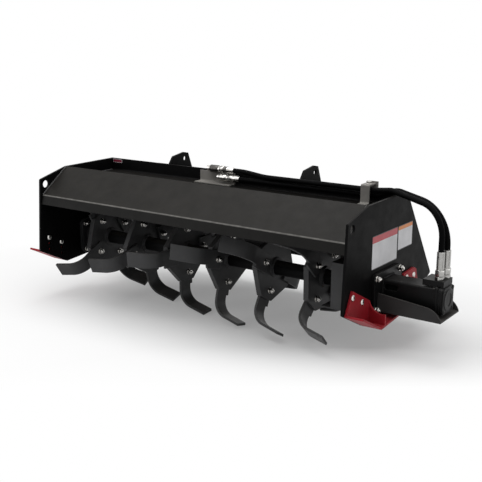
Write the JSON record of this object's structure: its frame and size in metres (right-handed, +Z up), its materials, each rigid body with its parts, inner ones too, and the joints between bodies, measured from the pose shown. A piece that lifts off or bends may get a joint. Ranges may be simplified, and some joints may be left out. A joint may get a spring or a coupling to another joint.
{
  "type": "rotary tiller",
  "caption": "Loader-mounted rotary tiller: bent hood between two side plates, a bladed rotor driven by a hydraulic motor at its right end, skid shoes and a quick-attach plate behind.",
  "frame": {"origin": "centre of the loader plate's rear face, which leans 20 degrees", "axes": "+X along the rotor towards the hydraulic motor, +Y back towards the loader, +Z up; the open front of the hood faces -Y"},
  "size_m": [1.876, 0.846, 0.6519],
  "materials": {
    "black_paint": "satin",
    "rotor_paint": "satin",
    "red_paint": "satin",
    "grey_paint": "satin",
    "bearing_iron": "painted",
    "motor_iron": "satin",
    "zinc_plate": "zinc plated",
    "hose_rubber": "matt"
  },
  "bodies": {
    "frame": {"side_plate_left": "black_paint", "side_plate_right": "black_paint", "hood": "black_paint", "trough": "black_paint", "rear_plate": "black_paint", "gusset_left": "black_paint", "gusset_right": "black_paint", "loader_plate": "black_paint", "loader_hook": "black_paint", "lock_bar": "black_paint", "skid_front_left": "red_paint", "skid_front_right": "red_paint", "skid_rear_left": "red_paint", "skid_rear_right": "red_paint", "bearing_left": "bearing_iron", "bearing_right": "bearing_iron", "hub_guard": "black_paint", "motor_housing": "black_paint", "motor": "motor_iron", "motor_guard": "black_paint", "port_adapters": "zinc_plate", "hose_ends": "zinc_plate", "hose_pressure": "hose_rubber", "hose_return": "hose_rubber", "coupler_upper": "zinc_plate", "coupler_lower": "zinc_plate", "coupler_shelf": "grey_paint", "hose_clamp": "grey_paint"},
    "rotor": {"rotor_shaft": "rotor_paint", "flange_1": "rotor_paint", "flange_2": "rotor_paint", "flange_3": "rotor_paint", "flange_4": "rotor_paint", "flange_5": "rotor_paint", "flange_6": "rotor_paint", "tines_1": "rotor_paint", "tines_2": "rotor_paint", "tines_3": "rotor_paint", "tines_4": "rotor_paint", "tines_5": "rotor_paint", "tines_6": "rotor_paint"}
  },
  "joints": [
    {"name": "rotor_spin", "type": "hinge", "parent": "frame", "child": "rotor", "pos_m": [0.061, -0.40411, -0.11842], "axis": [1, 0, 0], "continuous": true}
  ]
}
